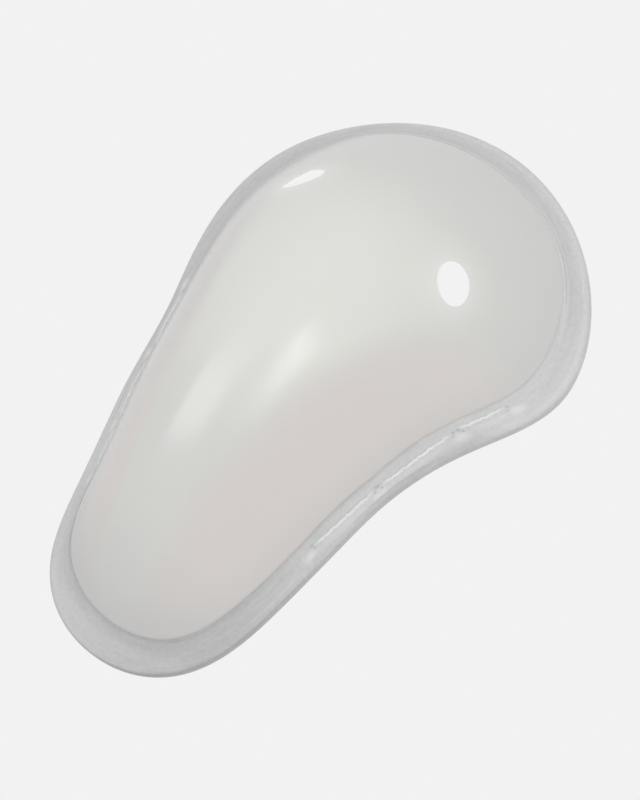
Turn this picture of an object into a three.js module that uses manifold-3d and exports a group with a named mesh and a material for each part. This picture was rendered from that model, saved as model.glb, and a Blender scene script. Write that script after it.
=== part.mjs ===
// Groin guard: a hard pear-shaped dome with two oval vents, and a soft rim moulded round its edge.
// Millimetres, +Z up. It rests open side down, with the wide belly end towards +Y.
//
// Each outline is an oval whose half width changes along its length. A point on it is given by an
// angle: -90 degrees at the narrow tip, 0 at the +X side, 90 at the wide end, 180 at the -X side.
// The sine of that angle is the point's place along the length, from -1 to 1.

import * as THREE from "three";
import { mergeVertices } from "three/addons/utils/BufferGeometryUtils.js";
import Module from "manifold-3d";

const wasm = await Module();
wasm.setup();

// Overall sizes
const LENGTH = 155;
const JOINT_LENGTH = 141.2;
const JOINT_SHIFT = 1.4;
const WALL = 2.6;

// Rim: its rounded outer bead, the lip behind the shell, and the clearance round the shell's edge
const BEAD = 2.6;
const LIP = 1.2;
const CLEARANCE = 0.3;

// The rim's top falls from the joint to the bead in a cove through these shares of its width and drop
const COVE = [
  { across: 0.2, left: 0.52 },
  { across: 0.48, left: 0.18 },
];

// The shell reaches into the rim by this share of its outline, and the rim's groove a little further
const TONGUE = 0.018;
const GROOVE = 0.024;

// The rim arches up over each thigh, between two places along the length
const ARCH = { height: 7.4, start: -0.87, top: 0, end: 0.59 };

// Sections along the length, from the narrow tip to the wide end.
// edge, joint: half width of the oval that the rim's edge, or the joint of shell and rim, follows there
// stand: height of the joint above the rim's underside
// rise: height of the dome's ridge above that, were the oval full width there
const SECTIONS = [
  { place: -1.0, edge: 53.4, joint: 50.0, stand: 4.9, rise: 26 },
  { place: -0.8, edge: 45.5, joint: 40.3, stand: 6.3, rise: 27.5 },
  { place: -0.55, edge: 39.8, joint: 34.9, stand: 6.3, rise: 29.5 },
  { place: -0.3, edge: 39, joint: 34.4, stand: 5.9, rise: 31.3 },
  { place: -0.05, edge: 41, joint: 36.7, stand: 5.7, rise: 33 },
  { place: 0.2, edge: 49.4, joint: 42.7, stand: 6.2, rise: 35.2 },
  { place: 0.45, edge: 60.3, joint: 52.4, stand: 6.0, rise: 38.2 },
  { place: 0.7, edge: 65.5, joint: 58.9, stand: 5.2, rise: 41.8 },
  { place: 1.0, edge: 67.2, joint: 67.6, stand: 6.2, rise: 45.5 },
];

// Two oval vents in the wide end, their long axes slanting outwards and towards the narrow end
const VENT = { across: 25.5, along: 39.8, long: 11.2, short: 7.8, slant: -41, reach: 8 };

// Keyed windows in the rim beside the shell, along the waist: angles in degrees where each begins and ends
const WINDOW = { width: 3.2, depth: 2.4 };
const WINDOWS = [
  { from: -22, to: -6.5 },
  { from: -5.5, to: 10 },
  { from: 11.5, to: 20.5 },
  { from: 178, to: 190 },
  { from: 192.5, to: 206 },
  { from: 207.5, to: 218 },
];

// Fineness of the facets
const AROUND = 80;
const RINGS = 9;
const OVAL_SIDES = 20;

// Step on the oval over which the dome's slope is measured
const SLOPE_STEP = 0.001;

// A smooth curve through one column of the table, with no bend at either end
function throughColumn(column) {
  const at = SECTIONS.map((section) => section.place);
  const value = SECTIONS.map((section) => section[column]);
  const last = at.length - 1;
  const bend = new Array(last + 1).fill(0);
  const carry = new Array(last + 1).fill(0);
  for (let i = 1; i < last; i += 1) {
    const before = at[i] - at[i - 1];
    const after = at[i + 1] - at[i];
    const turn = (value[i + 1] - value[i]) / after - (value[i] - value[i - 1]) / before;
    const pivot = 2 * (before + after) - before * carry[i - 1];
    carry[i] = after / pivot;
    bend[i] = (6 * turn - before * bend[i - 1]) / pivot;
  }
  for (let i = last - 1; i > 0; i -= 1) {
    bend[i] -= carry[i] * bend[i + 1];
  }
  return (place) => {
    let i = 1;
    while (i < last && place > at[i]) {
      i += 1;
    }
    const span = at[i] - at[i - 1];
    const far = (place - at[i - 1]) / span;
    const near = 1 - far;
    const bow = (near ** 3 - near) * bend[i - 1] + (far ** 3 - far) * bend[i];
    return near * value[i - 1] + far * value[i] + (bow * span * span) / 6;
  };
}

const edgeHalfWidth = throughColumn("edge");
const jointHalfWidth = throughColumn("joint");
const standHeight = throughColumn("stand");
const domeRise = throughColumn("rise");

// Height of the rim's underside: flat on the ground at both ends, arched between
function archHeight(place) {
  const up = THREE.MathUtils.smootherstep(place, ARCH.start, ARCH.top);
  const down = THREE.MathUtils.smootherstep(place, ARCH.top, ARCH.end);
  return ARCH.height * (up - down);
}

// Outer face of the dome. Across and along are -1 to 1 on the oval, which the joint edges at radius 1.
// The rim's arch lifts the sides of the dome and fades out towards its ridge.
function domePoint(across, along) {
  const reach = across * across + along * along;
  return new THREE.Vector3(
    jointHalfWidth(along) * across,
    JOINT_SHIFT + (JOINT_LENGTH / 2) * along,
    standHeight(along) + archHeight(along) * reach + domeRise(along) * (1 - reach),
  );
}

// Outward direction of the dome's outer face
function domeNormal(across, along) {
  const sideways = domePoint(across + SLOPE_STEP, along).sub(domePoint(across - SLOPE_STEP, along));
  const lengthways = domePoint(across, along + SLOPE_STEP).sub(domePoint(across, along - SLOPE_STEP));
  return sideways.cross(lengthways).normalize();
}

// A point of the shell, sunk below its outer face
function wallPoint(angle, radius, sunk) {
  const across = radius * Math.cos(angle);
  const along = radius * Math.sin(angle);
  return domePoint(across, along).addScaledVector(domeNormal(across, along), -sunk);
}

// A closed geometry from corner points and triangles of their numbers
function closedGeometry(points, triangles) {
  const geometry = new THREE.BufferGeometry().setFromPoints(points);
  geometry.setIndex(triangles);
  return geometry;
}

function anglesAround() {
  return Array.from({ length: AROUND }, (_, i) => (2 * Math.PI * i) / AROUND);
}

// The dome as a wall between two depths, cut off at an edge radius
function domeWall(outerSunk, innerSunk, edgeRadius) {
  const points = [wallPoint(0, 0, outerSunk), wallPoint(0, 0, innerSunk)];
  const triangles = [];
  const rings = [];
  const radii = Array.from({ length: RINGS }, (_, i) => (edgeRadius * (i + 1)) / RINGS);
  const addRing = (radius, sunk) => {
    rings.push(points.length);
    anglesAround().forEach((angle) => points.push(wallPoint(angle, radius, sunk)));
  };
  radii.forEach((radius) => addRing(radius, outerSunk));
  radii.reverse().forEach((radius) => addRing(radius, innerSunk));
  for (let i = 0; i < AROUND; i += 1) {
    const next = (i + 1) % AROUND;
    triangles.push(0, rings[0] + i, rings[0] + next);
    triangles.push(1, rings.at(-1) + next, rings.at(-1) + i);
    for (let ring = 1; ring < rings.length; ring += 1) {
      const upper = rings[ring - 1];
      const lower = rings[ring];
      triangles.push(upper + i, lower + i, lower + next);
      triangles.push(upper + i, lower + next, upper + next);
    }
  }
  return closedGeometry(points, triangles);
}

// One cross-section of the rim at an angle, from the joint over the bead and back under to the lip
function rimSection(angle) {
  const place = Math.sin(angle);
  const base = archHeight(place);
  const stand = standHeight(place);
  const joint = wallPoint(angle, 1, 0);
  const lip = wallPoint(angle, 1, WALL + CLEARANCE + LIP);
  const edge = new THREE.Vector3(edgeHalfWidth(place) * Math.cos(angle), (LENGTH / 2) * place, joint.z);
  const outward = edge.clone().sub(joint);
  const width = outward.length();
  outward.normalize();
  const at = (distance, height) => {
    const point = joint.clone().addScaledVector(outward, distance);
    point.z = base + height;
    return point;
  };
  const slope = stand - BEAD;
  const round = BEAD / 2;
  const corner = round * (1 - Math.SQRT1_2);
  return [
    joint,
    ...COVE.map((row) => at(row.across * width, BEAD + row.left * slope)),
    at(width - round, BEAD),
    at(width - corner, BEAD - corner),
    at(width, round),
    at(width - corner, corner),
    at(width - round, 0),
    lip.clone().setZ(base),
    lip,
  ];
}

// The rim as one closed ring of sections, before the shell's groove is cut
function rimRing() {
  const sections = anglesAround().map(rimSection);
  const sides = sections[0].length;
  const triangles = [];
  sections.forEach((_, i) => {
    const here = i * sides;
    const ahead = ((i + 1) % AROUND) * sides;
    for (let side = 0; side < sides; side += 1) {
      const next = (side + 1) % sides;
      triangles.push(here + side, here + next, ahead + next);
      triangles.push(here + side, ahead + next, ahead + side);
    }
  });
  return closedGeometry(sections.flat(), triangles);
}

// An oval plug through the dome at one vent; side is 1 for +X and -1 for -X
function ventPlug(side) {
  const along = (VENT.along - JOINT_SHIFT) / (JOINT_LENGTH / 2);
  const across = (side * VENT.across) / jointHalfWidth(along);
  const centre = domePoint(across, along);
  const normal = domeNormal(across, along);
  const slant = THREE.MathUtils.degToRad(VENT.slant);
  const longAxis = new THREE.Vector3(side * Math.cos(slant), Math.sin(slant), 0);
  longAxis.projectOnPlane(normal).normalize();
  const shortAxis = normal.clone().cross(longAxis);
  const oval = new THREE.Shape().absellipse(0, 0, VENT.long / 2, VENT.short / 2, 0, 2 * Math.PI);
  const options = { depth: 2 * VENT.reach, bevelEnabled: false, curveSegments: OVAL_SIDES };
  const plug = new THREE.ExtrudeGeometry(oval, options);
  plug.translate(0, 0, -VENT.reach);
  return plug.applyMatrix4(new THREE.Matrix4().makeBasis(longAxis, shortAxis, normal).setPosition(centre));
}

// A lens-shaped hollow along the joint, between two angles
function windowLens({ from, to }) {
  const start = wallPoint(THREE.MathUtils.degToRad(from), 1, 0);
  const end = wallPoint(THREE.MathUtils.degToRad(to), 1, 0);
  const middle = THREE.MathUtils.degToRad((from + to) / 2);
  const normal = domeNormal(Math.cos(middle), Math.sin(middle));
  const lengthways = end.clone().sub(start).projectOnPlane(normal).normalize();
  const downhill = normal.clone().cross(lengthways);
  const lens = new THREE.SphereGeometry(1, OVAL_SIDES, OVAL_SIDES / 2);
  lens.scale(end.distanceTo(start) / 2, WINDOW.width, WINDOW.depth);
  const centre = wallPoint(middle, 1, 0);
  return lens.applyMatrix4(new THREE.Matrix4().makeBasis(lengthways, downhill, normal).setPosition(centre));
}

// A closed geometry as a solid that can be cut
function solid(geometry) {
  const bare = geometry.clone();
  bare.deleteAttribute("normal");
  bare.deleteAttribute("uv");
  const merged = mergeVertices(bare);
  const vertProperties = new Float32Array(merged.attributes.position.array);
  const triVerts = new Uint32Array(merged.index.array);
  return new wasm.Manifold(new wasm.Mesh({ numProp: 3, vertProperties, triVerts }));
}

// A cut solid as a named mesh
function namedMesh(name, body, material) {
  const cut = body.getMesh();
  const geometry = new THREE.BufferGeometry();
  geometry.setAttribute("position", new THREE.BufferAttribute(cut.vertProperties, 3));
  geometry.setIndex(new THREE.BufferAttribute(cut.triVerts, 1));
  geometry.computeVertexNormals();
  const mesh = new THREE.Mesh(geometry, material);
  mesh.name = name;
  return mesh;
}

const polypropylene = new THREE.MeshStandardMaterial({ color: 0xdfe0db, roughness: 0.35, metalness: 0 });
const elastomer = new THREE.MeshStandardMaterial({ color: 0xc6c8c6, roughness: 0.45, metalness: 0 });

// The hard shell, with its vents cut through
const shell = solid(domeWall(0, WALL, 1 + TONGUE))
  .subtract(solid(ventPlug(1)))
  .subtract(solid(ventPlug(-1)));

// The soft rim, with the groove that holds the shell's edge and the keyed windows beside it
const groove = solid(domeWall(-CLEARANCE, WALL + CLEARANCE, 1 + GROOVE));
const grooved = solid(rimRing()).subtract(groove);
const rim = WINDOWS.reduce((body, row) => body.subtract(solid(windowLens(row))), grooved);

const guard = new THREE.Group();
guard.add(namedMesh("shell", shell, polypropylene));
guard.add(namedMesh("rim", rim, elastomer));

export default guard;
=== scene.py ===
"""Groin guard: a milky moulded shell with two oval vents, and a cloudy soft rim moulded round its edge.

Run as a script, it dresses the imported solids. Every piece is built in metres in their frame, +Z up,
with the wide belly end towards +Y. Each outline is an oval whose half width changes along its length.
A point on it is given by an angle: -90 degrees at the narrow tip, 0 at the +X side, 90 at the wide end.
The sine of that angle is the point's place along the length, from -1 to 1.
"""

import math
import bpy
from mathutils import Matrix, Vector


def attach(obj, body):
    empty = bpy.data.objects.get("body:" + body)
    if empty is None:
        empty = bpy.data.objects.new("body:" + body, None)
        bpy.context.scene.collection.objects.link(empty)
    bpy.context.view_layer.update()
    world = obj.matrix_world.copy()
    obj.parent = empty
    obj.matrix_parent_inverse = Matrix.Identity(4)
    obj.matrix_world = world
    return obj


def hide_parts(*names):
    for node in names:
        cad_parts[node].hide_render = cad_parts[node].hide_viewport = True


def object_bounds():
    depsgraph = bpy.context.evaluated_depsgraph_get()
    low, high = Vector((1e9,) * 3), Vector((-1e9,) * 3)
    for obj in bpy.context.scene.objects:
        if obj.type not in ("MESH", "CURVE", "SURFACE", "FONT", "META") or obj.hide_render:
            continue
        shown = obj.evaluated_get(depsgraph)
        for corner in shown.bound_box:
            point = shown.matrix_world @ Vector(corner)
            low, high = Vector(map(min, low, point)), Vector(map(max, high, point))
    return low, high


bl_info = {
    "name": "Groin Guard",
    "version": (1, 0, 0),
    "blender": (4, 5, 0),
    "location": "View3D > Sidebar > Guard",
    "description": "Dresses a groin guard's packed solids as a moulded shell and a soft rim",
    "category": "Add Mesh",
}

from collections import namedtuple

import bpy
import numpy as np
from bpy.props import FloatProperty, FloatVectorProperty, IntProperty, PointerProperty
from mathutils import Matrix, Quaternion, Vector
from mathutils.geometry import delaunay_2d_cdt

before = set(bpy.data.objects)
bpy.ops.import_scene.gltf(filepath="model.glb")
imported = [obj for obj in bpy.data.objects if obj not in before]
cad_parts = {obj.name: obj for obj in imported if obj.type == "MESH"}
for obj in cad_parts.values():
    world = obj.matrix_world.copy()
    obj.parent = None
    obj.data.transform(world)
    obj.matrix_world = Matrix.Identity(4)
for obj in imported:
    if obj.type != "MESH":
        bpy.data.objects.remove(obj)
CAD_BOX = [list(corner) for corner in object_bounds()]
CAD_LENGTH = CAD_BOX[1][1] - CAD_BOX[0][1]

MM = 0.001

# Sections along the length, from the narrow tip to the wide end, in millimetres.
# edge, joint: half width of the oval that the rim's edge, or the joint of shell and rim, follows there
# stand: height of the joint above the rim's underside
# rise: height of the dome's ridge above that, were the oval full width there
Section = namedtuple("Section", "place edge joint stand rise")
SECTIONS = (
    Section(place=-1.0, edge=53.4, joint=50.0, stand=4.9, rise=26.0),
    Section(place=-0.8, edge=45.5, joint=40.3, stand=6.3, rise=27.5),
    Section(place=-0.55, edge=39.8, joint=34.9, stand=6.3, rise=29.5),
    Section(place=-0.3, edge=39.0, joint=34.4, stand=5.9, rise=31.3),
    Section(place=-0.05, edge=41.0, joint=36.7, stand=5.7, rise=33.0),
    Section(place=0.2, edge=49.4, joint=42.7, stand=6.2, rise=35.2),
    Section(place=0.45, edge=60.3, joint=52.4, stand=6.0, rise=38.2),
    Section(place=0.7, edge=65.5, joint=58.9, stand=5.2, rise=41.8),
    Section(place=1.0, edge=67.2, joint=67.6, stand=6.2, rise=45.5),
)

# The rim arches up over each thigh, between these places along the length
ARCH_START = -0.87
ARCH_TOP = 0.0
ARCH_END = 0.59

# Keyed windows in the rim beside the shell.
# start, end: angles in degrees
# reach: distance of the window's creased edge from the shell, in millimetres
# ends: share of that distance left at the window's ends
# film: how far the rim's thin inner edge rides up the shell there, in millimetres
Window = namedtuple("Window", "start end reach ends film")
WINDOWS = (
    Window(start=-22.0, end=-6.5, reach=1.8, ends=0.75, film=0.3),
    Window(start=-5.5, end=10.0, reach=1.8, ends=0.75, film=0.3),
    Window(start=11.5, end=20.5, reach=1.3, ends=0.8, film=0.2),
    Window(start=178.0, end=190.0, reach=2.3, ends=0.55, film=0.2),
    Window(start=192.5, end=206.0, reach=2.3, ends=0.55, film=0.2),
    Window(start=207.5, end=218.0, reach=2.3, ends=0.55, film=0.2),
)


def linear(code):
    """An sRGB hex colour as linear red, green and blue."""
    parts = [int(code[i : i + 2], 16) / 255 for i in (1, 3, 5)]
    return tuple(c / 12.92 if c <= 0.04045 else ((c + 0.055) / 1.055) ** 2.4 for c in parts)


def add_node(tree, kind, inputs=None, **settings):
    """Adds one node, sets its options, and sets or links its inputs, which are named or numbered."""
    node = tree.nodes.new(kind)
    for name, value in settings.items():
        setattr(node, name, value)
    for key, value in (inputs or {}).items():
        if isinstance(value, bpy.types.NodeSocket):
            tree.links.new(value, node.inputs[key])
        else:
            node.inputs[key].default_value = value
    return node


def length_property(name, description, millimetres):
    """A length that a user may change, with its default in millimetres."""
    return FloatProperty(
        name=name, description=description, default=millimetres * MM, unit="LENGTH", precision=5
    )


def colour_property(name, description, code):
    """A colour that a user may change, with its default as an sRGB hex value."""
    return FloatVectorProperty(
        name=name, description=description, default=linear(code), subtype="COLOR", size=3, min=0.0, max=1.0
    )


class GuardShape(bpy.types.PropertyGroup):
    """Sizes that the shell and the rim share."""

    length: FloatProperty(
        name="Length", description="Whole length over the rim", default=CAD_LENGTH, unit="LENGTH"
    )
    joint_length: length_property("Joint Length", "Length of the oval where the rim meets the shell", 141.2)
    joint_shift: length_property("Joint Shift", "How far that oval sits towards the wide end", 1.4)
    arch_height: length_property("Arch Height", "How far the rim arches up over each thigh", 7.4)
    wall: length_property("Wall", "Thickness of the shell away from its vents", 2.6)
    tongue: FloatProperty(
        name="Tongue", description="Share of its outline that the shell reaches into the rim", default=0.005
    )


class GuardVents(bpy.types.PropertyGroup):
    """Sizes of the two oval vents."""

    across: length_property("Across", "Distance of a vent's middle from the ridge", 25.5)
    along: length_property("Along", "Distance of a vent's middle from the guard's middle", 39.8)
    long: length_property("Long Axis", "Longer diameter of a vent", 11.2)
    short: length_property("Short Axis", "Shorter diameter of a vent", 7.8)
    slant: FloatProperty(
        name="Slant", description="Turn of the longer diameter", default=math.radians(-41), subtype="ANGLE"
    )
    rounding: length_property("Rounding", "Radius of a vent's rounded edges", 0.11)
    edge: length_property("Edge", "Thickness of the wall at a vent, where its inner face is dished", 0.25)


class GuardRim(bpy.types.PropertyGroup):
    """Sizes of the soft rim and its keyed windows."""

    bead: length_property("Bead", "Thickness of the rounded outer edge", 2.6)
    lip: length_property("Lip", "How far the rim reaches behind the shell", 0.6)
    window_depth: length_property("Window Depth", "Depth of a window's hollow", 0.25)
    crease: length_property("Crease", "Height of the thin crease along a window's edge", 0.3)
    pit: length_property("Pit", "Depth of the pits at the windows' ends", 0.3)
    blob: length_property("Blob", "Height of the swellings beside the pits", 0.2)
    stations: IntProperty(name="Stations", description="Cross-sections round the rim", default=1440, min=80)


class GuardFinish(bpy.types.PropertyGroup):
    """Colours of the two plastics, with darker copies of the shell's and the rim's that paint shade onto
    them.
    """

    shell: colour_property("Shell", "Milky plastic of the dome", "#ebece7")
    # The warm, grey and edge colours are darker copies of the shell's, used as painted shade
    shell_warm: colour_property("Shell, Warm", "Lower flanks of the dome", "#e4dfdc")
    shell_grey: colour_property("Shell, Grey", "Dome away from its wide end's middle", "#dddedb")
    shell_edge: colour_property("Shell, Edge", "Dome's edge beside the rim, -X flank and tip", "#d2d2d2")
    rim_light: colour_property("Rim, Light", "Rim where it is thin", "#e8e8e8")
    # The dark rim colour stands for deep plastic and for painted shade where the rim turns from the light
    rim_dark: colour_property("Rim, Dark", "Rim where it lies deep or turns away", "#a5a5a6")
    # The crease colour is partly stress whitening and partly a painted glint
    crease: colour_property("Crease", "Whitened crease along a window", "#fdfdfd")


class GuardStage(bpy.types.PropertyGroup):
    """Camera, floor and lights."""

    azimuth: FloatProperty(
        name="Azimuth",
        description="Turn of the view round the guard",
        default=math.radians(78.74),
        subtype="ANGLE",
    )
    elevation: FloatProperty(
        name="Elevation", description="Height of the view", default=math.radians(57.14), subtype="ANGLE"
    )
    roll: FloatProperty(
        name="Roll", description="Turn of the picture", default=math.radians(-39.93), subtype="ANGLE"
    )
    distance: length_property("Distance", "From the camera to the guard's middle", 800.0)
    shift_right: length_property("Shift Right", "Aim of the camera beside the guard's middle", 3.9)
    shift_up: length_property("Shift Up", "Aim of the camera above the guard's middle", 0.88)
    lens: FloatProperty(name="Lens", description="Focal length in millimetres", default=151.8, unit="CAMERA")
    floor: colour_property("Floor", "Lit pale table", "#f2f2f2")
    dim: FloatProperty(name="Dim Side", description="Brightness of the room's dim side", default=0.461)
    bright: FloatProperty(
        name="Bright Side", description="Brightness of the room's bright side", default=1.188
    )


def through_column(column):
    """A smooth curve through one column of the section table, with no bend at either end."""
    at = np.array([section.place for section in SECTIONS])
    value = np.array([getattr(section, column) for section in SECTIONS]) * MM
    step = np.diff(at)
    turn = np.diff(np.diff(value) / step)
    pull = np.diag(2 * (step[:-1] + step[1:])) + np.diag(step[1:-1], 1) + np.diag(step[1:-1], -1)
    bend = np.concatenate([[0.0], np.linalg.solve(pull, 6 * turn), [0.0]])

    def curve(place):
        i = np.clip(np.searchsorted(at, place), 1, len(at) - 1)
        span = at[i] - at[i - 1]
        far = (place - at[i - 1]) / span
        near = 1 - far
        bow = (near**3 - near) * bend[i - 1] + (far**3 - far) * bend[i]
        return near * value[i - 1] + far * value[i] + bow * span**2 / 6

    return curve


edge_half_width = through_column("edge")
joint_half_width = through_column("joint")
stand_height = through_column("stand")
dome_rise = through_column("rise")


def eased(value, start, end):
    """0 before start, 1 after end, with no corner between."""
    share = np.clip((value - start) / (end - start), 0, 1)
    return share**3 * (share * (6 * share - 15) + 10)


def arch_height(shape, place):
    """Height of the rim's underside: flat on the ground at both ends, arched between."""
    return shape.arch_height * (eased(place, ARCH_START, ARCH_TOP) - eased(place, ARCH_TOP, ARCH_END))


def dome_point(shape, across, along):
    """Outer face of the dome. Across and along are -1 to 1 on the oval, which the joint edges at radius 1."""
    reach = across**2 + along**2
    height = stand_height(along) + arch_height(shape, along) * reach + dome_rise(along) * (1 - reach)
    sideways = joint_half_width(along) * across
    lengthways = shape.joint_shift + shape.joint_length / 2 * along
    return np.stack([sideways, lengthways, height], axis=-1)


def unit(vectors):
    """The same directions with length 1."""
    return vectors / np.linalg.norm(vectors, axis=-1, keepdims=True)


def dome_normal(shape, across, along):
    """Outward direction of the dome's outer face."""
    step = 0.001
    sideways = dome_point(shape, across + step, along) - dome_point(shape, across - step, along)
    lengthways = dome_point(shape, across, along + step) - dome_point(shape, across, along - step)
    return unit(np.cross(sideways, lengthways))


def mesh_object(name, points, faces):
    """A smooth mesh object at the origin, from points and faces of their numbers."""
    mesh = bpy.data.meshes.new(name)
    mesh.from_pydata([tuple(point) for point in points], [], faces)
    mesh.shade_smooth()
    mesh.update()
    made = bpy.data.objects.new(name, mesh)
    bpy.context.scene.collection.objects.link(made)
    return made


# Shell


class Vent:
    """One oval vent: the line through its middle, and places round it on the dome."""

    def __init__(self, shape, vents, side):
        self.shape = shape
        self.half_long = vents.long / 2
        self.half_short = vents.short / 2
        along = (vents.along - shape.joint_shift) / (shape.joint_length / 2)
        across = side * vents.across / joint_half_width(along)
        self.middle = np.array([across, along])
        self.centre = dome_point(shape, across, along)
        self.axis = dome_normal(shape, across, along)
        slanted = np.array([side * math.cos(vents.slant), math.sin(vents.slant), 0.0])
        self.long_axis = unit(slanted - self.axis * (slanted @ self.axis))
        self.short_axis = np.cross(self.axis, self.long_axis)

    def plane(self, places):
        """Places on the dome as distances along the vent's two diameters."""
        offset = dome_point(self.shape, places[:, 0], places[:, 1]) - self.centre
        return np.stack([offset @ self.long_axis, offset @ self.short_axis], axis=-1)

    def ring(self, margin, count):
        """Places on the dome on the vent's oval, widened by a margin."""
        turn = np.arange(count) * 2 * math.pi / count
        target = np.stack(
            [(self.half_long + margin) * np.cos(turn), (self.half_short + margin) * np.sin(turn)], axis=-1
        )
        places = np.repeat(self.middle[None], count, axis=0)
        step = 1e-4
        for _ in range(8):
            here = self.plane(places)
            by_across = (self.plane(places + [step, 0]) - here) / step
            by_along = (self.plane(places + [0, step]) - here) / step
            slopes = np.stack([by_across, by_along], axis=-1)
            places = places + np.linalg.solve(slopes, (target - here)[..., None])[..., 0]
        return places


# The mould opens along this direction, so the vents' walls run along it.
# The inner face turns from it to the dome's own normal within the lean's distance of a vent
PULL = np.array([0.0, 0.0, 1.0])
VENT_LEAN = 3.0 * MM

# Fineness of the shell's mesh. The margins are those of the rings round a vent, in millimetres, and the
# dish in its inner face ends at the last
SHELL_RINGS = 62
EDGE_POINTS = 480
VENT_POINTS = 96
VENT_MARGINS = (0.5, 1.2, 2.1, 3.2, 4.6, 6.3, 8.4, 11.0)
ROUNDING_STEPS = 5


def disc_places(edge_radius):
    """Places spread evenly over the oval, with a close row round its edge."""
    rows = [np.zeros((1, 2))]
    for ring in range(1, SHELL_RINGS):
        count = 6 * ring
        turn = (np.arange(count) + 0.5 * (ring % 2)) * 2 * math.pi / count
        radius = edge_radius * ring / SHELL_RINGS
        rows.append(radius * np.stack([np.cos(turn), np.sin(turn)], axis=-1))
    turn = np.arange(EDGE_POINTS) * 2 * math.pi / EDGE_POINTS
    rows.append(edge_radius * np.stack([np.cos(turn), np.sin(turn)], axis=-1))
    return np.concatenate(rows)


def loop_faces(first, second):
    """Faces that join two closed loops of point numbers, side by side."""
    return [
        (first[i - 1], first[i], second[i], second[i - 1])
        for i in range(len(first))
    ]


def build_shell(shape, vents):
    """The hollow dome: an outer and an inner face, joined round its edge and through the rounded vents."""
    edge_radius = 1 + shape.tongue
    places = disc_places(edge_radius)
    holes = [Vent(shape, vents, side) for side in (1, -1)]
    widest = VENT_MARGINS[-1] * MM
    for hole in holes:
        near = hole.plane(places)
        oval = (near[:, 0] / (hole.half_long + widest)) ** 2 + (near[:, 1] / (hole.half_short + widest)) ** 2
        close = np.linalg.norm(places - hole.middle, axis=1) < 0.5
        places = places[~(close & (oval < 1.05))]
    edge = np.flatnonzero(np.linalg.norm(places, axis=1) > edge_radius - 1e-6)
    loops = []
    lean = np.zeros(len(places))
    dish = np.zeros(len(places))
    for hole in holes:
        margins = [vents.rounding, *(margin * MM + vents.rounding for margin in VENT_MARGINS)]
        for margin in margins:
            ring = hole.ring(margin, VENT_POINTS)
            if margin == vents.rounding:
                loops.append(np.arange(len(places), len(places) + VENT_POINTS))
            places = np.concatenate([places, ring])
            beyond = margin - vents.rounding
            lean = np.concatenate([lean, np.full(VENT_POINTS, max(0.0, 1 - beyond / VENT_LEAN))])
            dish = np.concatenate([dish, np.full(VENT_POINTS, 1 - beyond / widest)])
    constraints = [(int(loop[i - 1]), int(loop[i])) for loop in [edge, *loops] for i in range(len(loop))]
    flat = delaunay_2d_cdt([Vector(place) for place in places], constraints, [], 0, 1e-7)
    in_vent = [set(loop.tolist()) for loop in loops]
    skin = [
        tuple(flat[3][corner][0] for corner in face)
        for face in flat[2]
    ]
    skin = [face for face in skin if not any(loop.issuperset(face) for loop in in_vent)]
    outer = dome_point(shape, places[:, 0], places[:, 1])
    normal = dome_normal(shape, places[:, 0], places[:, 1])
    inward = unit(normal * (1 - lean)[:, None] + PULL * lean[:, None])
    thickness = shape.wall + (vents.edge - shape.wall) * dish
    inner = outer - inward * thickness[:, None]
    count = len(places)
    points = [outer, inner]
    faces = skin + [tuple(count + corner for corner in reversed(face)) for face in skin]
    faces += loop_faces((edge + count).tolist(), edge.tolist())
    total = 2 * count
    for hole, loop in zip(holes, loops):
        previous = loop.tolist()
        bends = np.linspace(0, math.pi / 2, ROUNDING_STEPS + 1)[1:]
        profile = [(1 - math.sin(bend), 1 - math.cos(bend)) for bend in bends]
        lower = [(out, vents.edge / vents.rounding - down) for out, down in reversed(profile)]
        for out, down in profile + lower:
            ring = hole.ring(out * vents.rounding, VENT_POINTS)
            on_dome = dome_point(shape, ring[:, 0], ring[:, 1])
            points.append(on_dome - PULL * down * vents.rounding)
            numbers = list(range(total, total + VENT_POINTS))
            faces += loop_faces(previous, numbers)
            previous = numbers
            total += VENT_POINTS
        faces += loop_faces(previous, (loop + count).tolist())
    shell = mesh_object("guard_shell", np.concatenate(points), faces)
    oval = np.zeros((total, 3), np.float32)
    spread = np.column_stack([places, np.linalg.norm(places, axis=1)])
    oval[: 2 * count] = np.concatenate([spread, spread])
    for number, hole in enumerate(holes):
        first = 2 * count + number * (total - 2 * count) // len(holes)
        oval[first : first + (total - 2 * count) // len(holes)] = (*hole.middle, np.linalg.norm(hole.middle))
    stored = shell.data.attributes.new("oval", "FLOAT_VECTOR", "POINT")
    stored.data.foreach_set("vector", oval.ravel())
    return shell


# Rim


# One cross-section of the rim, from its thin inner edge on the shell over the bead and back behind the shell.
# share, rounds: distance outwards from the joint, as a share of the rim's width and of the bead
# bead, slope: height, as a share of the bead and of what the joint stands above it
# normal, flank: millimetres from the joint along the dome's normal, and down its flank
# film: share of a window's film by which the row rides up the shell; top: 1 on the face beside the windows
# tone: 0 for the dark colour and 1 for the light one, darker at the joint and where the rim lies deep, and as
# painted shade where it turns from the light; steps: fineness up to the next row
Row = namedtuple("Row", "share rounds bead slope normal flank film top tone steps")

# The bead's outer face: a rounded shoulder, an upright wall and a softer lower edge.
# out: share of the bead inside the edge; up: share of the bead's height; tone: darker down the wall and under
# it, painted shade where the face turns from the light
Bead = namedtuple("Bead", "out up tone")
BEAD = (
    Bead(out=-0.2, up=0.97, tone=0.7),
    Bead(out=-0.06, up=0.88, tone=0.5),
    Bead(out=0.0, up=0.72, tone=0.3),
    Bead(out=0.0, up=0.5, tone=0.25),
    Bead(out=-0.03, up=0.28, tone=0.2),
    Bead(out=-0.09, up=0.12, tone=0.1),
    Bead(out=-0.2, up=0.03, tone=0.05),
)


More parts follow.
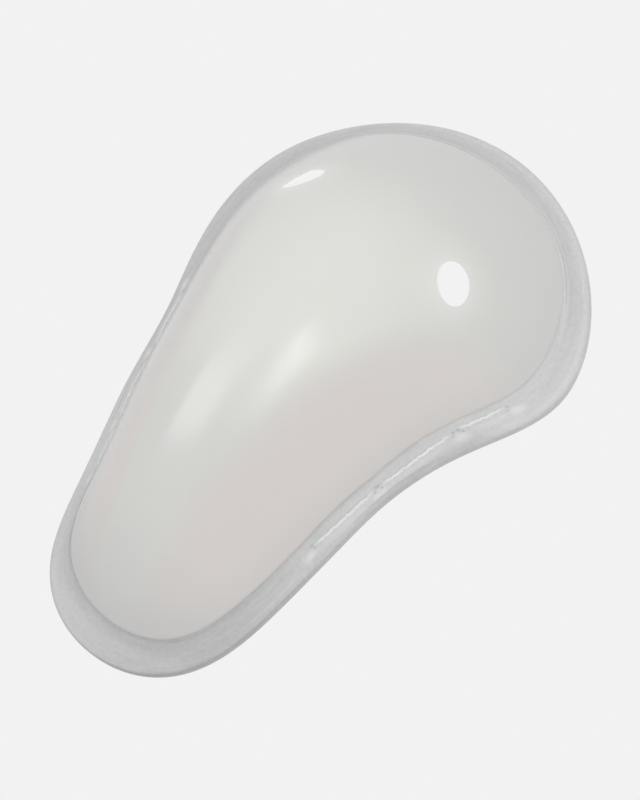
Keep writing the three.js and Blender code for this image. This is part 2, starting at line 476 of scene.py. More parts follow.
def section_rows(shape, rim):
    """The rim's cross-section as rows of shares."""
    behind = -(shape.wall + rim.lip) / MM
    wall = -shape.wall / MM
    rows = [
        Row(0.0, 0.0, 1.0, 1.0, -0.05, -0.5, 1.0, 1, 0.3, 2),
        Row(0.0, 0.0, 1.0, 1.0, 0.04, -0.15, 0.8, 1, 0.44, 2),
        Row(0.0, 0.0, 1.0, 1.0, 0.06, 0.25, 0.6, 1, 0.6, 3),
        Row(0.11, 0.0, 1.0, 0.71, 0.0, 0.0, 0.3, 1, 0.72, 5),
        Row(0.20, 0.0, 1.0, 0.53, 0.0, 0.0, 0.0, 1, 0.77, 6),
        Row(0.34, 0.0, 1.0, 0.32, 0.0, 0.0, 0.0, 1, 0.76, 6),
        Row(0.48, 0.0, 1.0, 0.18, 0.0, 0.0, 0.0, 1, 0.76, 5),
        Row(0.66, 0.0, 1.0, 0.07, 0.0, 0.0, 0.0, 1, 0.76, 4),
        Row(1.0, -0.5, 1.0, 0.0, 0.0, 0.0, 0.0, 0, 0.77, 2),
    ]
    rows += [Row(1.0, bead.out, bead.up, 0.0, 0.0, 0.0, 0.0, 0, bead.tone, 2) for bead in BEAD]
    rows += [
        Row(1.0, -0.5, 0.0, 0.0, 0.0, 0.0, 0.0, 0, 0.3, 2),
        Row(0.25, 0.0, 0.0, 0.0, 0.0, 0.0, 0.0, 0, 0.5, 2),
        Row(0.0, 0.0, 0.0, 0.0, 0.0, 0.0, 0.0, 0, 0.5, 2),
        Row(0.0, 0.0, 1.0, 1.0, behind, 0.4, 0.0, 0, 0.5, 2),
        Row(0.0, 0.0, 1.0, 1.0, wall - 0.2, -0.3, 0.0, 0, 0.3, 1),
        Row(0.0, 0.0, 1.0, 1.0, wall + 0.05, 0.3, 0.0, 0, 0.3, 1),
        Row(0.0, 0.0, 1.0, 1.0, -0.1, 0.3, 0.0, 0, 0.3, 1),
    ]
    return rows


def smooth_section(rows):
    """The rows with smooth steps between, as one closed loop of named columns, none of which overshoots."""
    table = np.array(rows)
    before = table - np.roll(table, 1, axis=0)
    after = np.roll(table, -1, axis=0) - table
    alike = before * after > 0
    slope = np.where(alike, 2 * before * after / np.where(alike, before + after, 1), 0)
    fine = []
    for i, row in enumerate(rows):
        rise = after[i]
        end_slope = slope[(i + 1) % len(rows)]
        for step in range(row.steps):
            t = step / row.steps
            bend = (3 * rise - 2 * slope[i] - end_slope) * t**2 + (slope[i] + end_slope - 2 * rise) * t**3
            fine.append(table[i] + slope[i] * t + bend)
    return dict(zip(Row._fields, np.array(fine).T))


def point_object(name, columns):
    """An object that holds points with named values, for a node tree to read."""
    count = len(next(iter(columns.values())))
    mesh = bpy.data.meshes.new(name)
    mesh.vertices.add(count)
    for column, values in columns.items():
        vector = np.ndim(values) == 2
        stored = mesh.attributes.new(column, "FLOAT_VECTOR" if vector else "FLOAT", "POINT")
        stored.data.foreach_set("vector" if vector else "value", np.asarray(values, np.float32).ravel())
    made = bpy.data.objects.new(name, mesh)
    bpy.context.scene.collection.objects.link(made)
    return made


# Painted light and shade round the rim, greyest at the tip, which is turned from the light: how light the rim
# is made on its crest, beside the shell and on its outer wall, and how much lighter its film on the shell is
# made, partly as the shell showing through round the wide end and along the far windows, partly as painted
# light
Light = namedtuple("Light", "angle crest joint wall film")
RIM_PAINTED_LIGHT = (
    Light(angle=-150.0, crest=0.78, joint=0.7, wall=0.8, film=0.5),
    Light(angle=-138.0, crest=0.77, joint=0.68, wall=0.8, film=0.0),
    Light(angle=-120.0, crest=0.76, joint=0.66, wall=0.8, film=0.0),
    Light(angle=-95.0, crest=0.66, joint=0.62, wall=0.6, film=0.0),
    Light(angle=-70.0, crest=0.47, joint=0.52, wall=0.1, film=0.0),
    Light(angle=-44.0, crest=0.5, joint=0.56, wall=0.0, film=0.0),
    Light(angle=-25.0, crest=0.74, joint=0.85, wall=0.6, film=0.0),
    Light(angle=-10.0, crest=0.72, joint=0.98, wall=0.9, film=0.0),
    Light(angle=2.0, crest=0.58, joint=0.95, wall=0.85, film=0.05),
    Light(angle=11.0, crest=0.68, joint=0.98, wall=0.9, film=0.15),
    Light(angle=18.0, crest=1.12, joint=0.9, wall=1.0, film=0.2),
    Light(angle=30.0, crest=1.14, joint=0.86, wall=1.0, film=0.3),
    Light(angle=50.0, crest=1.12, joint=0.6, wall=1.0, film=0.5),
    Light(angle=105.0, crest=0.95, joint=0.56, wall=1.3, film=0.65),
    Light(angle=120.0, crest=0.86, joint=0.6, wall=1.3, film=0.55),
    Light(angle=150.0, crest=0.76, joint=0.58, wall=1.3, film=0.65),
    Light(angle=170.0, crest=0.72, joint=0.63, wall=1.0, film=0.1),
    Light(angle=180.0, crest=0.73, joint=0.65, wall=0.9, film=0.5),
)

# Pits at a window's ends: distance from the joint, and offset beyond the end, in millimetres
Pit = namedtuple("Pit", "place offset")
PITS = (Pit(place=1.2, offset=0.4), Pit(place=1.9, offset=-0.3))

# Along the rim, in millimetres: a pit's spread, and a swelling's spread and offset beyond a window's end
PIT_SPREAD = 0.28
BLOB_OFFSET = 1.4
BLOB_SPREAD = 1.6

# Share of a swelling that runs along the whole window, a band of painted light as well as a low rise
LIT_BAND = 0.4

# Across the rim: half widths of the creases, pits and swellings, and the swellings' distance from the joint
CREASE_WIDTH = 0.4 * MM
PIT_WIDTH = 0.35 * MM
BLOB_WIDTH = 1.6 * MM
BLOB_PLACE = 2.9 * MM

# A window's hollow begins and is full at these distances from the joint
HOLLOW_START = 0.3 * MM
HOLLOW_FULL = 1.0 * MM

# The creased edges waver by this much, these many times round the guard
WOBBLE = 0.05 * MM
WOBBLE_TURNS = (113, 197, 331)


def rim_stations(shape, rim):
    """Named values at each cross-section round the rim."""
    angle = np.arange(rim.stations) * 2 * math.pi / rim.stations
    across = np.cos(angle)
    place = np.sin(angle)
    joint = dome_point(shape, across, place)
    normal = dome_normal(shape, across, place)
    flank = unit(dome_point(shape, 1.01 * across, 1.01 * place) - joint)
    edge = np.stack([edge_half_width(place) * across, shape.length / 2 * place, joint[:, 2]], axis=-1)
    outward = edge - joint
    width = np.linalg.norm(outward, axis=1)
    pace = np.linalg.norm(np.roll(joint, -1, axis=0) - joint, axis=1) / (angle[1] - angle[0])
    lens = np.zeros(rim.stations)
    reach = np.full(rim.stations, 2 * MM)
    film = np.zeros(rim.stations)
    pits = np.zeros((len(PITS), rim.stations))
    blob = np.zeros(rim.stations)
    for window in WINDOWS:
        middle = math.radians(window.start + window.end) / 2
        half = math.radians(window.end - window.start) / 2
        away = np.abs((angle - middle + math.pi) % (2 * math.pi) - math.pi)
        bow = np.sqrt(np.clip(1 - (away / half) ** 2, 0, 1))
        lens += bow
        film += window.film * MM * bow
        blob = np.maximum(blob, LIT_BAND * bow)
        bowed = window.reach * MM * (window.ends + (1 - window.ends) * bow)
        reach = np.where(bow > 0, bowed, reach)
        beyond = (away - half) * pace / MM
        for number, pit in enumerate(PITS):
            near = np.exp(-(((beyond - pit.offset) / PIT_SPREAD) ** 2))
            pits[number] = np.maximum(pits[number], near)
        blob = np.maximum(blob, np.exp(-(((beyond - BLOB_OFFSET) / BLOB_SPREAD) ** 2)))
    for turns in WOBBLE_TURNS:
        reach = reach + WOBBLE * np.sin(turns * angle)
    columns = {
        "joint": joint,
        "normal": normal,
        "flank": flank,
        "outward": outward / width[:, None],
        "width": width,
        "stand": stand_height(place),
        "lens": lens,
        "reach": reach,
        "film": film,
        "blob": blob,
    }
    columns.update({f"pit {number}": near for number, near in enumerate(pits)})
    # Painted light and shade round the rim, set for each station from its table
    known = [light.angle for light in RIM_PAINTED_LIGHT]
    for part in ("crest", "joint", "wall", "film"):
        shares = [getattr(light, part) for light in RIM_PAINTED_LIGHT]
        columns[part + " light"] = np.interp(np.degrees(angle), known, shares, period=360)
    return columns


def rim_tree(stations, section):
    """Node tree that sweeps the section round the stations, and presses windows, creases and pits into it."""
    tree = bpy.data.node_groups.new("Rim Swept Round The Shell", "GeometryNodeTree")
    tree.is_modifier = True
    sockets = {
        "Stations": "NodeSocketGeometry",
        "Section": "NodeSocketObject",
        "Station Count": "NodeSocketInt",
        "Section Count": "NodeSocketInt",
        "Bead": "NodeSocketFloat",
        "Window Depth": "NodeSocketFloat",
        "Crease Height": "NodeSocketFloat",
        "Crease Width": "NodeSocketFloat",
        "Pit Depth": "NodeSocketFloat",
        "Pit Width": "NodeSocketFloat",
        "Blob Height": "NodeSocketFloat",
        "Blob Place": "NodeSocketFloat",
        "Blob Width": "NodeSocketFloat",
        "Material": "NodeSocketMaterial",
    }
    for name, kind in sockets.items():
        tree.interface.new_socket(name, in_out="INPUT", socket_type=kind)
    tree.interface.new_socket("Rim", in_out="OUTPUT", socket_type="NodeSocketGeometry")
    given = add_node(tree, "NodeGroupInput").outputs
    shown = add_node(tree, "GeometryNodeObjectInfo", {"Object": given["Section"]}).outputs["Geometry"]

    # A grid with one more row each way than the closed ring needs: its seams are merged at the end
    around = add_node(tree, "ShaderNodeMath", {0: given["Station Count"], 1: 1.0}, operation="ADD").outputs[0]
    sides = add_node(tree, "ShaderNodeMath", {0: given["Section Count"], 1: 1.0}, operation="ADD").outputs[0]
    grid = add_node(tree, "GeometryNodeMeshGrid", {"Vertices X": sides, "Vertices Y": around}).outputs["Mesh"]
    number = add_node(tree, "GeometryNodeInputIndex").outputs[0]
    row = add_node(tree, "ShaderNodeMath", {0: number, 1: around}, operation="DIVIDE").outputs[0]
    row = add_node(tree, "ShaderNodeMath", {0: row}, operation="FLOOR").outputs[0]
    row = add_node(
        tree, "ShaderNodeMath", {0: row, 1: given["Section Count"]}, operation="FLOORED_MODULO"
    ).outputs[0]
    column = add_node(tree, "ShaderNodeMath", {0: number, 1: around}, operation="FLOORED_MODULO").outputs[0]
    column = add_node(
        tree, "ShaderNodeMath", {0: column, 1: given["Station Count"]}, operation="FLOORED_MODULO"
    ).outputs[0]

    # Values of the station and of the section's point that each grid point stands for
    read = {}
    for source, columns, index in ((given["Stations"], stations, column), (shown, section, row)):
        for name, values in columns.items():
            kind = "FLOAT_VECTOR" if np.ndim(values) == 2 else "FLOAT"
            stored = add_node(tree, "GeometryNodeInputNamedAttribute", {"Name": name}, data_type=kind)
            sampled = add_node(
                tree,
                "GeometryNodeSampleIndex",
                {"Geometry": source, "Value": stored.outputs["Attribute"], "Index": index},
                data_type=kind,
            )
            read[name if source is shown else "at " + name] = sampled.outputs["Value"]

    # Distance outwards from the joint, and height against it
    rounds = add_node(
        tree, "ShaderNodeMath", {0: read["rounds"], 1: given["Bead"]}, operation="MULTIPLY"
    ).outputs[0]
    distance = add_node(
        tree, "ShaderNodeMath", {0: read["share"], 1: read["at width"], 2: rounds}, operation="MULTIPLY_ADD"
    ).outputs[0]
    above = add_node(
        tree, "ShaderNodeMath", {0: read["at stand"], 1: given["Bead"]}, operation="SUBTRACT"
    ).outputs[0]
    height = add_node(
        tree, "ShaderNodeMath", {0: read["bead"], 1: given["Bead"]}, operation="MULTIPLY"
    ).outputs[0]
    height = add_node(
        tree, "ShaderNodeMath", {0: read["slope"], 1: above, 2: height}, operation="MULTIPLY_ADD"
    ).outputs[0]
    height = add_node(
        tree, "ShaderNodeMath", {0: height, 1: read["at stand"]}, operation="SUBTRACT"
    ).outputs[0]

    # A window's hollow lies between the film on the shell and its creased edge
    portion = add_node(
        tree, "ShaderNodeMath", {0: distance, 1: read["at reach"]}, operation="DIVIDE"
    ).outputs[0]
    shares = {}
    for name, value, first, last in (
        ("inside", portion, 1.0, 0.5),
        ("off shell", distance, HOLLOW_START, HOLLOW_FULL),
        ("drawn", read["at lens"], 0.1, 0.9),
    ):
        shares[name] = add_node(
            tree,
            "ShaderNodeMapRange",
            {"Value": value, "From Min": first, "From Max": last},
            interpolation_type="SMOOTHSTEP",
        ).outputs[0]
    hollow = shares["inside"]
    for factor in (shares["off shell"], read["top"], read["at lens"]):
        hollow = add_node(tree, "ShaderNodeMath", {0: hollow, 1: factor}, operation="MULTIPLY").outputs[0]

    # Bands that follow the windows: each is strongest at a distance from the joint, where its stations are
    bands = {}
    for name, middle, spread, strength in (
        ("crease", read["at reach"], given["Crease Width"], shares["drawn"]),
        *(
            (f"pit {number}", pit.place * MM, given["Pit Width"], read[f"at pit {number}"])
            for number, pit in enumerate(PITS)
        ),
        ("blob", given["Blob Place"], given["Blob Width"], read["at blob"]),
    ):
        off = add_node(tree, "ShaderNodeMath", {0: distance, 1: middle}, operation="SUBTRACT").outputs[0]
        off = add_node(tree, "ShaderNodeMath", {0: off}, operation="ABSOLUTE").outputs[0]
        band = add_node(
            tree,
            "ShaderNodeMapRange",
            {"Value": off, "From Min": spread, "From Max": 0.0},
            interpolation_type="SMOOTHSTEP",
        ).outputs[0]
        band = add_node(tree, "ShaderNodeMath", {0: band, 1: strength}, operation="MULTIPLY").outputs[0]
        bands[name] = add_node(
            tree, "ShaderNodeMath", {0: band, 1: read["top"]}, operation="MULTIPLY"
        ).outputs[0]
    pit = bands.pop("pit 0")
    for number in range(1, len(PITS)):
        other = bands.pop(f"pit {number}")
        pit = add_node(tree, "ShaderNodeMath", {0: pit, 1: other}, operation="MAXIMUM").outputs[0]
    bands["pit"] = pit
    off_film = add_node(tree, "ShaderNodeMath", {0: 1.0, 1: read["film"]}, operation="SUBTRACT").outputs[0]
    bands["crease"] = add_node(
        tree, "ShaderNodeMath", {0: bands["crease"], 1: off_film}, operation="MULTIPLY"
    ).outputs[0]
    for field, size, way in (
        (hollow, given["Window Depth"], "SUBTRACT"),
        (bands["crease"], given["Crease Height"], "ADD"),
        (bands["pit"], given["Pit Depth"], "SUBTRACT"),
        (bands["blob"], given["Blob Height"], "ADD"),
    ):
        change = add_node(tree, "ShaderNodeMath", {0: field, 1: size}, operation="MULTIPLY").outputs[0]
        height = add_node(tree, "ShaderNodeMath", {0: height, 1: change}, operation=way).outputs[0]
    film = add_node(
        tree, "ShaderNodeMath", {0: read["at film"], 1: read["film"]}, operation="MULTIPLY"
    ).outputs[0]
    down = add_node(tree, "ShaderNodeMath", {0: read["flank"], 1: MM}, operation="MULTIPLY").outputs[0]
    down = add_node(tree, "ShaderNodeMath", {0: down, 1: film}, operation="SUBTRACT").outputs[0]

    # The point: from the joint outwards, along the normal, down the flank and up
    spot = add_node(tree, "ShaderNodeCombineXYZ", {"Z": height}).outputs[0]
    spot = add_node(tree, "ShaderNodeVectorMath", {0: read["at joint"], 1: spot}, operation="ADD").outputs[0]
    for direction, size, scale in (
        (read["at outward"], distance, 1.0),
        (read["at normal"], read["normal"], MM),
        (read["at flank"], down, 1.0),
    ):
        metres = add_node(tree, "ShaderNodeMath", {0: size, 1: scale}, operation="MULTIPLY").outputs[0]
        move = add_node(
            tree, "ShaderNodeVectorMath", {0: direction, "Scale": metres}, operation="SCALE"
        ).outputs[0]
        spot = add_node(tree, "ShaderNodeVectorMath", {0: spot, 1: move}, operation="ADD").outputs[0]
    parts = add_node(tree, "ShaderNodeSeparateXYZ", {0: spot}).outputs
    joint_height = add_node(tree, "ShaderNodeSeparateXYZ", {0: read["at joint"]}).outputs["Z"]
    ground = add_node(
        tree, "ShaderNodeMath", {0: joint_height, 1: read["at stand"]}, operation="SUBTRACT"
    ).outputs[0]
    level = add_node(tree, "ShaderNodeMath", {0: parts["Z"], 1: ground}, operation="MAXIMUM").outputs[0]
    spot = add_node(tree, "ShaderNodeCombineXYZ", {"X": parts["X"], "Y": parts["Y"], "Z": level}).outputs[0]
    made = add_node(tree, "GeometryNodeSetPosition", {"Geometry": grid, "Position": spot}).outputs[0]

    # Values that the material reads; flow runs along the rim and across it
    flow = add_node(
        tree, "ShaderNodeVectorMath", {0: read["at joint"], 1: (1.0, 1.0, 0.0)}, operation="MULTIPLY"
    ).outputs[0]
    across = add_node(tree, "ShaderNodeCombineXYZ", {"Z": distance}).outputs[0]
    flow = add_node(tree, "ShaderNodeVectorMath", {0: flow, 1: across}, operation="ADD").outputs[0]
    made = add_node(
        tree,
        "GeometryNodeStoreNamedAttribute",
        {"Geometry": made, "Name": "flow", "Value": flow},
        data_type="FLOAT_VECTOR",
        domain="POINT",
    ).outputs[0]
    # Painted light and shade: the section's tone is scaled round the guard by the lightness set for the
    # joint, the crest and the outer wall, and the film is lightened by its own share
    light = add_node(
        tree, "ShaderNodeMix", {"Factor": read["share"], 2: read["at joint light"], 3: read["at crest light"]}
    ).outputs[0]
    wall = add_node(
        tree, "ShaderNodeMapRange", {"Value": read["bead"], "From Min": 1.0, "From Max": 0.8}
    ).outputs[0]
    light = add_node(tree, "ShaderNodeMix", {"Factor": wall, 2: light, 3: read["at wall light"]}).outputs[0]
    tone = add_node(tree, "ShaderNodeMath", {0: read["tone"], 1: light}, operation="MULTIPLY").outputs[0]
    tone = add_node(
        tree, "ShaderNodeMath", {0: read["film"], 1: read["at film light"], 2: tone}, operation="MULTIPLY_ADD"
    ).outputs[0]
    for name, value in (("tone", tone), *bands.items()):
        made = add_node(
            tree,
            "GeometryNodeStoreNamedAttribute",
            {"Geometry": made, "Name": name, "Value": value},
            data_type="FLOAT",
            domain="POINT",
        ).outputs[0]
    made = add_node(tree, "GeometryNodeMergeByDistance", {"Geometry": made, "Distance": 1e-6}).outputs[0]
    made = add_node(tree, "GeometryNodeSetShadeSmooth", {"Geometry": made}).outputs[0]
    made = add_node(
        tree, "GeometryNodeSetMaterial", {"Geometry": made, "Material": given["Material"]}
    ).outputs[0]
    add_node(tree, "NodeGroupOutput", {"Rim": made})
    return tree


def build_rim(shape, rim, material):
    """The soft rim, swept round the shell by its node tree."""
    stations = rim_stations(shape, rim)
    section = smooth_section(section_rows(shape, rim))
    del section["steps"]
    path = point_object("rim_stations", stations)
    profile = point_object("rim_section", section)
    tree = rim_tree(stations, section)
    sizes = {
        "Section": profile,
        "Station Count": rim.stations,
        "Section Count": len(section["share"]),
        "Bead": rim.bead,
        "Window Depth": rim.window_depth,
        "Crease Height": rim.crease,
        "Crease Width": CREASE_WIDTH,
        "Pit Depth": rim.pit,
        "Pit Width": PIT_WIDTH,
        "Blob Height": rim.blob,
        "Blob Place": BLOB_PLACE,
        "Blob Width": BLOB_WIDTH,
        "Material": material,
    }
    sweep = path.modifiers.new("Sweep", "NODES")
    sweep.node_group = tree
    for item in tree.interface.items_tree:
        if item.in_out == "INPUT" and item.name in sizes:
            sweep[item.identifier] = sizes[item.name]
    swept = path.evaluated_get(bpy.context.evaluated_depsgraph_get())
    mesh = bpy.data.meshes.new_from_object(swept)
    mesh.name = "guard_rim"
    made = bpy.data.objects.new("guard_rim", mesh)
    bpy.context.scene.collection.objects.link(made)
    for used in (path, profile):
        bpy.data.objects.remove(used)
    return made


# Materials


def shell_material(finish):
    """Injection-moulded polypropylene: milky, lets light through its wall, smooth with a soft gloss."""
    material = bpy.data.materials.new("Milky moulded polypropylene")
    material.use_nodes = True
    tree = material.node_tree
    tree.nodes.clear()
    place = add_node(tree, "ShaderNodeTexCoord").outputs["Object"]

    # Painted shade: greyer towards the edge, the narrow end and the -X flank, which turn from the light, and
    # warmer and darker on the lower flanks, partly as painted shade. Each share grows from 0 at the first
    # place on the oval to its most at the last. Broad drifts of the melt, some 30 mm across, shift the warmth
    oval = add_node(tree, "ShaderNodeAttribute", attribute_name="oval").outputs["Vector"]
    oval = add_node(tree, "ShaderNodeSeparateXYZ", {0: oval}).outputs
    drift = add_node(tree, "ShaderNodeTexNoise", {"Vector": place, "Scale": 1 / (30 * MM), "Detail": 2.0})
    side = add_node(tree, "ShaderNodeMath", {0: oval["X"]}, operation="ABSOLUTE").outputs[0]
    side = add_node(
        tree, "ShaderNodeMath", {0: oval["Y"], 1: -0.35, 2: side}, operation="MULTIPLY_ADD"
    ).outputs[0]
    shares = {}
    for name, value, first, last, most in (
        ("side", side, 0.36, 0.64, 1.0),
        ("lower", oval["Y"], 0.52, 0.3, 1.0),
        ("edge", oval["Z"], 0.45, 0.9, 1.0),
        ("narrow", oval["Y"], 0.1, -0.4, 1.0),
        ("painted_edge_shade", oval["Z"], 0.86, 1.0, 0.35),
        ("flank", oval["X"], -0.4, -0.8, 0.55),
        ("tip", oval["Y"], -0.6, -0.95, 0.42),
    ):
        shares[name] = add_node(
            tree,
            "ShaderNodeMapRange",
            {"Value": value, "From Min": first, "From Max": last, "To Max": most},
            interpolation_type="SMOOTHSTEP",
        ).outputs[0]
    warm_and_shade = add_node(
        tree, "ShaderNodeMath", {0: shares["side"], 1: shares["lower"]}, operation="MULTIPLY"
    ).outputs[0]
    warm_and_shade = add_node(
        tree, "ShaderNodeMath", {0: drift.outputs["Fac"], 1: 0.4, 2: warm_and_shade}, operation="MULTIPLY_ADD"
    ).outputs[0]
    warm_and_shade = add_node(
        tree, "ShaderNodeMath", {0: warm_and_shade, 1: 0.2}, operation="SUBTRACT", use_clamp=True
    ).outputs[0]
    grey = add_node(tree, "ShaderNodeMix", {"Factor": shares["narrow"], 2: shares["edge"], 3: 0.6}).outputs[0]
    painted_edge_shade = shares["painted_edge_shade"]
    for name in ("flank", "tip"):
        painted_edge_shade = add_node(
            tree, "ShaderNodeMath", {0: painted_edge_shade, 1: shares[name]}, operation="ADD", use_clamp=True
        ).outputs[0]
    colour = (*finish.shell, 1.0)
    for share, tint in ((grey, finish.shell_grey), (warm_and_shade, finish.shell_warm), (painted_edge_shade, finish.shell_edge)):
        colour = add_node(
            tree, "ShaderNodeMix", {"Factor": share, 6: colour, 7: (*tint, 1.0)}, data_type="RGBA"
        ).outputs[2]

    # The gloss varies a little, as on a moulded face, over some 12 mm
    wear = add_node(tree, "ShaderNodeTexNoise", {"Vector": place, "Scale": 1 / (12 * MM), "Detail": 2.0})
    shine = add_node(
        tree, "ShaderNodeMapRange", {"Value": wear.outputs["Fac"], "To Min": 0.19, "To Max": 0.25}
    ).outputs[0]
    surface = add_node(
        tree,
        "ShaderNodeBsdfPrincipled",
        {
            "Base Color": colour,
            "Roughness": shine,
            "IOR": 1.49,
            "Subsurface Weight": 0.5,
            "Subsurface Radius": (1.0, 0.95, 0.88),
            "Subsurface Scale": 1.5 * MM,
        },
    )
    add_node(tree, "ShaderNodeOutputMaterial", {"Surface": surface.outputs["BSDF"]})
    return material


def rim_material(finish):
    """Overmoulded clear elastomer: cloudy grey, darker where it lies deep and, as painted shade, where it
    turns from the light, white where it is creased, partly as a painted glint.
    """
    material = bpy.data.materials.new("Cloudy overmoulded elastomer")
    material.use_nodes = True
    tree = material.node_tree
    tree.nodes.clear()

    # Cloudy streaks run along the rim, some 10 mm long and 1 mm wide, and soft scuffs are some 1 mm across.
    # Both shift the tone that the section gives
    flow = add_node(tree, "ShaderNodeAttribute", attribute_name="flow").outputs["Vector"]
    streak = (1 / (10 * MM), 1 / (10 * MM), 1 / MM)
    flow = add_node(tree, "ShaderNodeVectorMath", {0: flow, 1: streak}, operation="MULTIPLY").outputs[0]
    place = add_node(tree, "ShaderNodeTexCoord").outputs["Object"]
    tone = add_node(tree, "ShaderNodeAttribute", attribute_name="tone").outputs["Fac"]
    for vector, scale, most in ((flow, 1.0, 0.14), (place, 1 / MM, 0.14)):
        cloud = add_node(tree, "ShaderNodeTexNoise", {"Vector": vector, "Scale": scale, "Detail": 2.0})
        shift = add_node(
            tree, "ShaderNodeMapRange", {"Value": cloud.outputs["Fac"], "To Min": -most, "To Max": most}
        ).outputs[0]
        tone = add_node(tree, "ShaderNodeMath", {0: tone, 1: shift}, operation="ADD").outputs[0]
    # Painted shade darkens the pits, and painted light lightens the swellings and the band along each window
    for name, change in (("pit", -0.4), ("blob", 0.35)):
        amount = add_node(tree, "ShaderNodeAttribute", attribute_name=name).outputs["Fac"]
        tone = add_node(
            tree, "ShaderNodeMath", {0: amount, 1: change, 2: tone}, operation="MULTIPLY_ADD"
        ).outputs[0]
    colour = add_node(
        tree,
        "ShaderNodeMix",
        {"Factor": tone, 6: (*finish.rim_dark, 1.0), 7: (*finish.rim_light, 1.0)},
        data_type="RGBA",
    ).outputs[2]

    # The crease whitens unevenly, in patches some 2 mm long; the white is partly stress whitening and partly
    # a painted glint along the crease
    crease = add_node(tree, "ShaderNodeAttribute", attribute_name="crease").outputs["Fac"]
    patch = add_node(tree, "ShaderNodeTexNoise", {"Vector": flow, "Scale": 5.0, "Detail": 1.0})
    patch = add_node(
        tree,
        "ShaderNodeMapRange",
        {"Value": patch.outputs["Fac"], "From Min": 0.35, "From Max": 0.55, "To Min": 0.6},
    ).outputs[0]
    crease = add_node(tree, "ShaderNodeMath", {0: crease, 1: patch}, operation="MULTIPLY").outputs[0]
    colour = add_node(
        tree, "ShaderNodeMix", {"Factor": crease, 6: colour, 7: (*finish.crease, 1.0)}, data_type="RGBA"
    ).outputs[2]
    surface = add_node(
        tree, "ShaderNodeBsdfPrincipled", {"Base Color": colour, "Roughness": 0.4, "IOR": 1.49}
    )
    add_node(tree, "ShaderNodeOutputMaterial", {"Surface": surface.outputs["BSDF"]})
    return material


def dress(piece, node):
    """Lets a finished piece stand for a solid of the frame."""
    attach(piece, "root")
    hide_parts(node)


# Operators


class GUARD_OT_shell(bpy.types.Operator):
    """Build the milky shell with its two vents"""

    bl_idname = "guard.shell"
    bl_label = "Build Shell"

    def execute(self, context):
        scene = context.scene
        shell = build_shell(scene.guard_shape, scene.guard_vents)
        shell.data.materials.append(shell_material(scene.guard_finish))
        dress(shell, "shell")
        return {"FINISHED"}


class GUARD_OT_rim(bpy.types.Operator):
    """Build the soft rim with its keyed windows"""

    bl_idname = "guard.rim"
    bl_label = "Build Rim"

    def execute(self, context):
        scene = context.scene
        rim = build_rim(scene.guard_shape, scene.guard_rim, rim_material(scene.guard_finish))
        dress(rim, "rim")
        return {"FINISHED"}


FLOOR_HALF = 4.0
FLOOR_DROP = 0.2 * MM

# Softboxes: direction from the guard, size in metres, turn in degrees, power in watts
SOFTBOX_DISTANCE = 0.9
Softbox = namedtuple("Softbox", "name direction width height turn power")
SOFTBOXES = (
    Softbox("key softbox", (0.286, -0.140, 0.949), 0.115, 0.30, 0.0, 0.64),
    Softbox("side softbox", (-0.468, -0.387, 0.797), 0.34, 0.60, -35.0, 1.60),
)

# Direction of the room's bright side
BRIGHT_SIDE = (0.52, 0.538, -0.663)


def view_axes(stage):
    """Right, up and back directions of the camera."""
    turn = stage.azimuth
    rise = stage.elevation
    back = Vector((math.sin(turn) * math.cos(rise), -math.cos(turn) * math.cos(rise), math.sin(rise)))
    level = Vector((math.cos(turn), math.sin(turn), 0.0))
    upright = back.cross(level)
    right = level * math.cos(stage.roll) + upright * math.sin(stage.roll)
    return right, back.cross(right), back


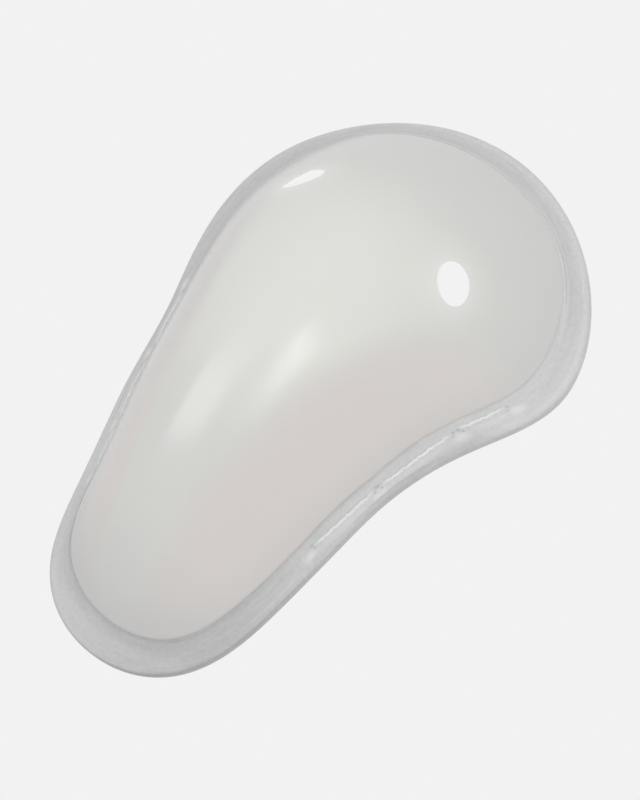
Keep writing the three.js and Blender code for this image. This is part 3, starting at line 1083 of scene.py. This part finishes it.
class GUARD_OT_stage(bpy.types.Operator):
    """Set up the camera, the lit table and the soft lights"""

    bl_idname = "guard.stage"
    bl_label = "Build Stage"

    def execute(self, context):
        scene = context.scene
        stage = scene.guard_stage
        scene.view_settings.view_transform = "Standard"

        # The table shows one even level from above, is clear from below, and gives the guard no light
        half = FLOOR_HALF
        sides = ((-half, -half), (half, -half), (half, half), (-half, half))
        floor = mesh_object("floor", [(x, y, -FLOOR_DROP) for x, y in sides], [(0, 1, 2, 3)])
        table = bpy.data.materials.new("Lit pale acrylic table")
        table.use_nodes = True
        tree = table.node_tree
        tree.nodes.clear()
        glow = add_node(tree, "ShaderNodeEmission", {"Color": (*stage.floor, 1.0), "Strength": 1.0})
        clear = add_node(tree, "ShaderNodeBsdfTransparent")
        behind = add_node(tree, "ShaderNodeNewGeometry").outputs["Backfacing"]
        either = add_node(
            tree, "ShaderNodeMixShader", {0: behind, 1: glow.outputs[0], 2: clear.outputs[0]}
        )
        add_node(tree, "ShaderNodeOutputMaterial", {"Surface": either.outputs[0]})
        floor.data.materials.append(table)
        floor.visible_diffuse = False
        floor.visible_glossy = False

        world = bpy.data.worlds.new("Soft room")
        world.use_nodes = True
        world.node_tree.nodes.clear()
        place = add_node(world.node_tree, "ShaderNodeTexCoord").outputs["Generated"]
        facing = add_node(
            world.node_tree, "ShaderNodeVectorMath", {0: place, 1: BRIGHT_SIDE}, operation="DOT_PRODUCT"
        ).outputs["Value"]
        bright = add_node(
            world.node_tree,
            "ShaderNodeMapRange",
            {"Value": facing, "From Min": -1.0, "To Min": stage.dim, "To Max": stage.bright},
        ).outputs[0]
        room = add_node(
            world.node_tree, "ShaderNodeBackground", {"Color": (1.0, 1.0, 1.0, 1.0), "Strength": bright}
        )
        add_node(world.node_tree, "ShaderNodeOutputWorld", {"Surface": room.outputs[0]})
        scene.world = world

        for box in SOFTBOXES:
            light = bpy.data.lights.new(box.name, "AREA")
            light.shape = "RECTANGLE"
            light.size = box.width
            light.size_y = box.height
            light.energy = box.power
            lamp = bpy.data.objects.new(box.name, light)
            towards = Vector(box.direction).normalized()
            lamp.location = towards * SOFTBOX_DISTANCE
            turn = Quaternion((0.0, 0.0, 1.0), math.radians(box.turn))
            lamp.rotation_euler = ((-towards).to_track_quat("-Z", "Y") @ turn).to_euler()
            scene.collection.objects.link(lamp)

        right, up, back = view_axes(stage)
        data = bpy.data.cameras.new("camera")
        data.lens = stage.lens
        camera = bpy.data.objects.new("camera", data)
        aim = right * stage.shift_right + up * stage.shift_up
        turned = Matrix((right, up, back)).transposed().to_4x4()
        camera.matrix_world = Matrix.Translation(back * stage.distance + aim) @ turned
        scene.collection.objects.link(camera)
        scene.camera = camera
        return {"FINISHED"}


class GUARD_PT_panel(bpy.types.Panel):
    """Sidebar panel with the guard's sizes and build steps"""

    bl_idname = "GUARD_PT_panel"
    bl_label = "Groin Guard"
    bl_space_type = "VIEW_3D"
    bl_region_type = "UI"
    bl_category = "Guard"

    def draw(self, context):
        for group in SETTINGS:
            settings = getattr(context.scene, group)
            box = self.layout.box()
            box.label(text=settings.bl_rna.description)
            for name in settings.bl_rna.properties.keys():
                if name not in ("rna_type", "name"):
                    box.prop(settings, name)
        for operator in OPERATORS:
            self.layout.operator(operator.bl_idname)


SETTINGS = {
    "guard_shape": GuardShape,
    "guard_vents": GuardVents,
    "guard_rim": GuardRim,
    "guard_finish": GuardFinish,
    "guard_stage": GuardStage,
}
OPERATORS = (GUARD_OT_shell, GUARD_OT_rim, GUARD_OT_stage)
CLASSES = (*SETTINGS.values(), *OPERATORS, GUARD_PT_panel)


def register():
    for made in CLASSES:
        bpy.utils.register_class(made)
    for name, group in SETTINGS.items():
        setattr(bpy.types.Scene, name, PointerProperty(type=group))


def unregister():
    for name in SETTINGS:
        delattr(bpy.types.Scene, name)
    for made in reversed(CLASSES):
        bpy.utils.unregister_class(made)


def main():
    register()
    bpy.ops.guard.shell()
    bpy.ops.guard.rim()
    bpy.ops.guard.stage()


if __name__ == "__main__":
    main()
